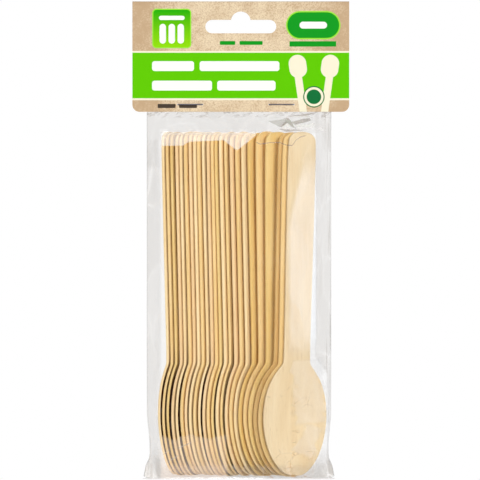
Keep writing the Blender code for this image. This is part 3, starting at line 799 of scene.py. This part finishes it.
def film_material(settings):
    finish, bench, shader = new_material("creased_clear_film")
    film = FilmFields(bench)
    broad = film.facets(film.tall, Size=9.0, Line=0.035, Seed=2.0)
    small = film.facets(film.leaning, Size=4.4, Line=0.06, Wobble=0.25, Seed=11.0)
    grazing = bench.node("ShaderNodeLayerWeight", {"Blend": 0.3}).outputs["Facing"]
    bare = film.bare()
    fields = {
        "lit_shards": film.shards(LIT_SHARDS), "dark_shards": film.dark_shards(),
        "side_patch": film.mark(*SIDE_PATCH, soft=1.3), "fold": film.fold(), "tip_veil": film.tip_veil(),
        "crease_line": film.crease_line(), "above_spoons": film.above_spoons(), "bare": bare,
        "pleats": film.pleats(), "foot": film.foot(), "shine": film.shine(),
        "foot_glints": film.foot_glints(), "wrinkles": film.wrinkles(small["Crease"]),
        "grazing": bench.math("POWER", grazing, 3.0),
    }
    haze = bench.stack(settings.haze, (broad["Facet"], 0.02), (broad["Crease"], 0.015))
    haze = bench.math("MULTIPLY", haze, bench.stretch(film.over_spoons(bare), 1.0, HAZE_ON_WOOD))
    cover = bench.stack(haze, *((fields[name], weight) for name, weight in COVER.items()))
    lit = bench.math("SUBTRACT", 1.0, bench.node("ShaderNodeLightPath").outputs["Is Shadow Ray"])
    bench.put(shader, "Alpha", bench.math("MULTIPLY", cover, lit, clamp=True))

    # Paler film: the foot's folds, the crease lines, and the lit shards' painted highlight.
    veiled = bench.stack(0.0, (fields["foot"], 0.25), (broad["Crease"], 0.8), (fields["lit_shards"], 1.0))
    colour = bench.mix(bench.math("MINIMUM", veiled, 1.0), tuple(settings.tint), tuple(settings.veil))
    # Painted glare: white on the fold and on the foot's glints.
    white = bench.math("MAXIMUM", fields["fold"], fields["foot_glints"])
    for mask, shade in (
            (fields["shine"], tuple(settings.gloss)), (fields["tip_veil"], TIP_BLUSH),
            (white, tuple(settings.glare)), (fields["wrinkles"], WRINKLE_BROWN),
            (fields["dark_shards"], tuple(settings.taupe)), (fields["crease_line"], CREASE_GREY)):
        colour = bench.mix(mask, colour, shade)
    bench.put(shader, "Base Color", colour)
    bench.put(shader, "Roughness", bench.stretch(small["Facet"], 0.10, 0.2))
    add_bump(bench, shader, bench.noise(film.tall, 0.35, detail=3.0, rough=0.55, seed=1.0), 0.4, 0.6 * MM)
    return finish


# The bag's creases in mm: out from its middle, up from the origin or down from it.
CARD_CLEAR = (0.3, 5.0)
SHOULDER_UP, FOOT_DOWN, WELD_DOWN = (-66.0, -56.0), (196.0, 212.0), (213.0, 217.5)
LEFT_FIN_OUT, RIGHT_FIN_OUT, FIN_END_DOWN = (37.5, 41.0), (39.5, 42.5), (212.0, 217.0)
EAR_PULL, EAR_OUT, EAR_DOWN, EAR_END_DOWN = 1.3, (36.0, 43.0), (186.0, 204.0), (207.5, 212.5)
CREASE_WIDTH, CREASE_HEIGHT, CREASE_DEPTH = 8, 11, 20
CREASE_RISE, CREASE_SHARE, ROUND_DEPTH = 0.6, 0.8, 2.5
FLAT_REACH, SHOULDER_REACH, FOOT_REACH = 0.22, 0.78, 0.5
RIPPLE_WIDTH, RIPPLE_HEIGHT, RIPPLE_SEED, RIPPLE_SHARE = 3.0, 26, 7.3, 1.1


def slice_film(shape, step):
    """Cuts the film into small squares, so that it can crease anywhere."""
    low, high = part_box("clear_bag")
    for axis in (0, 2):
        cuts = int((high[axis] - low[axis]) / step)
        normal = Vector((0, 0, 0))
        normal[axis] = 1
        for number in range(1, cuts + 1):
            spot = low.copy()
            spot[axis] += (high[axis] - low[axis]) * number / (cuts + 1)
            bmesh.ops.bisect_plane(
                shape, geom=shape.verts[:] + shape.edges[:] + shape.faces[:], dist=1e-7,
                plane_co=spot, plane_no=normal)
    bmesh.ops.triangulate(shape, faces=[face for face in shape.faces if len(face.verts) > 4])


def ease(value, low, high):
    share = min(max((value - low) / (high - low), 0.0), 1.0)
    return share * share * (3 - 2 * share)


def ear_pull(out, down):
    """How far, in mm, a side fin is drawn in above the ears that stand out at the foot."""
    return EAR_PULL * ease(out, *EAR_OUT) * ease(down, *EAR_DOWN) * (1 - ease(down, *EAR_END_DOWN))


def crease_film(shape, depth):
    """Pushes the film out of its smooth shape: creases at the shoulder and foot, ripples in the side fins."""
    card_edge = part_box("header_card")[0].z / MM
    for vert in shape.verts:
        x, y, z = (level / MM for level in vert.co)
        below_card = ease(card_edge - z, *CARD_CLEAR)
        foot = ease(-z, *FOOT_DOWN) * (1 - ease(-z, *WELD_DOWN))
        reach = FLAT_REACH + SHOULDER_REACH * ease(z, *SHOULDER_UP) + FOOT_REACH * foot
        spot = (x / CREASE_WIDTH, z / CREASE_HEIGHT, y / CREASE_DEPTH)
        near, far = noise.voronoi(spot, distance_metric="DISTANCE")[0][:2]
        facet = min(far - near, CREASE_RISE) / CREASE_RISE
        outward = max(-1.0, min(1.0, y / ROUND_DEPTH))
        push = outward * reach * facet * CREASE_SHARE
        fin = max(ease(-x, *LEFT_FIN_OUT), ease(x, *RIGHT_FIN_OUT))
        wave = noise.noise((x / RIPPLE_WIDTH, RIPPLE_SEED, z / RIPPLE_HEIGHT)) * RIPPLE_SHARE
        vert.co.x -= math.copysign(ear_pull(abs(x), -z), x) * MM
        ripple = wave * fin * (1 - ease(-z, *FIN_END_DOWN))
        vert.co.y += depth * below_card * (push * (1 - fin) + ripple)


class PACK_OT_film(bpy.types.Operator):
    """Creases the bag's film"""

    bl_idname = "spoon_pack.film"
    bl_label = "Crease Film"

    def execute(self, context):
        settings = context.scene.pack_film
        shape, mesh = copied_mesh("clear_bag", "creased_bag")
        slice_film(shape, settings.mesh_step)
        crease_film(shape, settings.crumple)
        finished_piece("creased_bag", shape, mesh, [film_material(settings)], "clear_bag")
        return {"FINISHED"}


# ---------------------------------------------------------------- card

# Borders on the card in mm: the badge's foot and top, the front face, and the browner sides.
BADGE_Z = (-16.0, 0.5)
CARD_FRONT_Y = (-0.55, -0.65)
CARD_SIDES_X, SIDES_SHARE = (24.0, 50.0), 0.68
CARD_SHEEN = 0.04


def kraft_material(settings):
    finish, bench, shader = new_material("printed_kraft_card")
    place = bench.millimetres()
    x, y, z = bench.split(place)
    mottle = bench.noise(place, 0.16, detail=4.0, rough=0.6, seed=1.0)
    grain = bench.noise(place, 1.6, detail=3.0, rough=0.7, seed=2.0)
    sides = bench.ramp(bench.math("ABSOLUTE", x), *CARD_SIDES_X, 0.0, SIDES_SHARE)
    mottled, grained = bench.ramp(mottle, 0.38, 0.68, 0.0, 0.4), bench.ramp(grain, 0.4, 0.68, 0.0, 0.78)
    share = bench.math("MINIMUM", bench.chain("ADD", (mottled, grained, sides)), 1.0)
    colour = bench.mix(share, tuple(settings.kraft), tuple(settings.kraft_dark))
    specks = bench.ramp(bench.noise(place, 2.3, detail=1.0, seed=9.0), 0.72, 0.78, 0.0, 0.5)
    colour = bench.mix(specks, colour, SPECK_BROWN)
    rise = bench.ramp(z, *BADGE_Z, smooth=False)
    badge = bench.mix(rise, tuple(settings.badge_foot), tuple(settings.badge_top))
    front = bench.ramp(y, *CARD_FRONT_Y)
    group = flat_shape_group()
    for cx, cz, half_x, half_z, corner, turn, name in PRINT:
        mask = use_group(
            bench, group, Place=place, Centre=flat((cx, cz)), Half_Size=flat((half_x, half_z)), Corner=corner,
            Turn=math.radians(turn))["Mask"]
        shade = badge if name == "badge" else INKS[name]
        colour = bench.mix(bench.math("MULTIPLY", mask, front), colour, shade)
    bench.put(shader, "Base Color", colour)
    bench.put(shader, "Roughness", bench.ramp(grain, 0.3, 0.7, 0.5, 0.62, smooth=False))
    bench.put(shader, "Specular IOR Level", CARD_SHEEN)
    add_bump(bench, shader, grain, strength=0.25, depth=0.04 * MM)
    return finish


class PACK_OT_card(bpy.types.Operator):
    """Gives the header card its kraft and its print"""

    bl_idname = "spoon_pack.card"
    bl_label = "Print Card"

    def execute(self, context):
        paint_node("header_card", kraft_material(context.scene.pack_card))
        return {"FINISHED"}


# ---------------------------------------------------------------- staples

def steel_material(settings):
    finish, bench, shader = new_material("staple_wire")
    scratches = bench.streaks(bench.millimetres(), (0.8, 9.0, 9.0), seed=4.0)
    colour = bench.mix(bench.ramp(scratches, 0.3, 0.7), tuple(settings.steel), SCRATCH_GREY)
    bench.put(shader, "Base Color", colour)
    bench.put(shader, "Metallic", 1.0)
    bench.put(shader, "Roughness", bench.ramp(scratches, 0.3, 0.7, 0.25, 0.42, smooth=False))
    return finish


class PACK_OT_staples(bpy.types.Operator):
    """Gives the two staples their drawn steel"""

    bl_idname = "spoon_pack.staples"
    bl_label = "Finish Staples"

    def execute(self, context):
        finish = steel_material(context.scene.pack_staples)
        for node in ("staple_left", "staple_right"):
            paint_node(node, finish)
        return {"FINISHED"}


# ---------------------------------------------------------------- stage

# What the camera looks at, across and up.
PICTURE_MIDDLE = (-0.37 * MM, -106.6 * MM)
SENSOR_WIDTH, FAR_CLIP = 36.0, 20.0
FLOOR_RADIUS, FLOOR_GREY, FLOOR_WHITE = 0.7, 0.8, 0.6
LAMP_AIM = Vector((0, 0, -0.1))
# The lamps: the setting that holds each one's power, its place in metres and its size.
LAMPS = {
    "key_lamp": ("key_power", (0.72, -1.35, 0.4), 0.7),
    "fill_lamp": ("fill_power", (-0.9, -1.2, 0.1), 0.7),
    "back_lamp": ("back_power", (-0.1, 1.5, 0.5), 0.9),
}


def make_world(settings):
    """Even daylight from all round, which shows itself as plain white."""
    world = bpy.data.worlds.new("soft_daylight")
    world.use_nodes = True
    bench = Bench(world.node_tree)
    sky = world.node_tree.nodes["Background"]
    bench.put(sky, "Color", (1.0, 1.0, 1.0))
    bench.put(sky, "Strength", bench.stretch(bench.shown(), settings.daylight, 1.0))
    bpy.context.scene.world = world


def floor_material():
    """Pale grey that shows partly as plain white, so that it keeps a soft shadow."""
    finish, bench, shader = new_material("pale_floor")
    bench.put(shader, "Base Color", (FLOOR_GREY, FLOOR_GREY, FLOOR_GREY))
    bench.put(shader, "Roughness", 0.9)
    white = bench.node("ShaderNodeEmission", {"Color": (1.0, 1.0, 1.0, 1.0), "Strength": 1.0})
    mixed = bench.node("ShaderNodeMixShader", {0: bench.math("MULTIPLY", bench.shown(), FLOOR_WHITE)})
    out = finish.node_tree.nodes["Material Output"]
    for source, target in (
            (shader.outputs[0], mixed.inputs[1]), (white.outputs[0], mixed.inputs[2]),
            (mixed.outputs[0], out.inputs["Surface"])):
        bench.tree.links.new(source, target)
    return finish


def make_floor(settings):
    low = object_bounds()[0]
    shape = bmesh.new()
    bmesh.ops.create_circle(shape, cap_ends=True, segments=96, radius=FLOOR_RADIUS)
    bmesh.ops.translate(shape, verts=shape.verts, vec=(0, 0, low.z - settings.floor_drop))
    mesh = bpy.data.meshes.new("pale_floor")
    shape.to_mesh(mesh)
    shape.free()
    mesh.materials.append(floor_material())
    floor = bpy.data.objects.new("pale_floor", mesh)
    bpy.context.scene.collection.objects.link(floor)
    floor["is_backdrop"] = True


def make_lamp(name, place, power, size):
    lamp = bpy.data.lights.new(name, "AREA")
    lamp.energy, lamp.size = power, size
    holder = bpy.data.objects.new(name, lamp)
    holder.location = place
    holder.rotation_euler = (LAMP_AIM - Vector(place)).to_track_quat("-Z", "Y").to_euler()
    bpy.context.scene.collection.objects.link(holder)


def make_camera(settings):
    lens = bpy.data.cameras.new("front_camera")
    lens.sensor_width = SENSOR_WIDTH
    lens.lens = SENSOR_WIDTH * settings.camera_distance / settings.picture_width
    lens.clip_end = FAR_CLIP
    camera = bpy.data.objects.new("front_camera", lens)
    camera.location = (PICTURE_MIDDLE[0], -settings.camera_distance, PICTURE_MIDDLE[1])
    camera.rotation_euler = (math.radians(90), 0, 0)
    bpy.context.scene.collection.objects.link(camera)
    bpy.context.scene.camera = camera


class PACK_OT_stage(bpy.types.Operator):
    """Sets the pale stage, the soft lamps and the camera"""

    bl_idname = "spoon_pack.stage"
    bl_label = "Set Stage"

    def execute(self, context):
        settings = context.scene.pack_stage
        make_camera(settings)
        make_world(settings)
        make_floor(settings)
        for name, (power, place, size) in LAMPS.items():
            make_lamp(name, place, getattr(settings, power), size)
        context.scene.view_settings.view_transform = "Standard"
        return {"FINISHED"}


# ---------------------------------------------------------------- panel and start

class PACK_PT_sidebar(bpy.types.Panel):
    """Lists the pack's steps and their settings"""

    bl_label = "Spoon Pack"
    bl_idname = "PACK_PT_sidebar"
    bl_space_type = "VIEW_3D"
    bl_region_type = "UI"
    bl_category = "Spoon Pack"

    def draw(self, context):
        for operator, settings_name, _ in STEPS:
            box = self.layout.box()
            box.operator(operator.bl_idname)
            settings = getattr(context.scene, settings_name)
            for name in settings.__annotations__:
                box.prop(settings, name)


STEPS = (
    (PACK_OT_stage, "pack_stage", StageSettings),
    (PACK_OT_spoons, "pack_spoons", SpoonSettings),
    (PACK_OT_film, "pack_film", FilmSettings),
    (PACK_OT_card, "pack_card", CardSettings),
    (PACK_OT_staples, "pack_staples", StapleSettings),
)


def register():
    for operator, settings_name, settings_class in STEPS:
        bpy.utils.register_class(settings_class)
        bpy.utils.register_class(operator)
        setattr(bpy.types.Scene, settings_name, PointerProperty(type=settings_class))
    bpy.utils.register_class(PACK_PT_sidebar)


def unregister():
    bpy.utils.unregister_class(PACK_PT_sidebar)
    for operator, settings_name, settings_class in reversed(STEPS):
        delattr(bpy.types.Scene, settings_name)
        bpy.utils.unregister_class(operator)
        bpy.utils.unregister_class(settings_class)


def main():
    register()
    bpy.ops.spoon_pack.stage()
    bpy.ops.spoon_pack.spoons()
    bpy.ops.spoon_pack.film()
    bpy.ops.spoon_pack.card()
    bpy.ops.spoon_pack.staples()


if __name__ == "__main__":
    main()
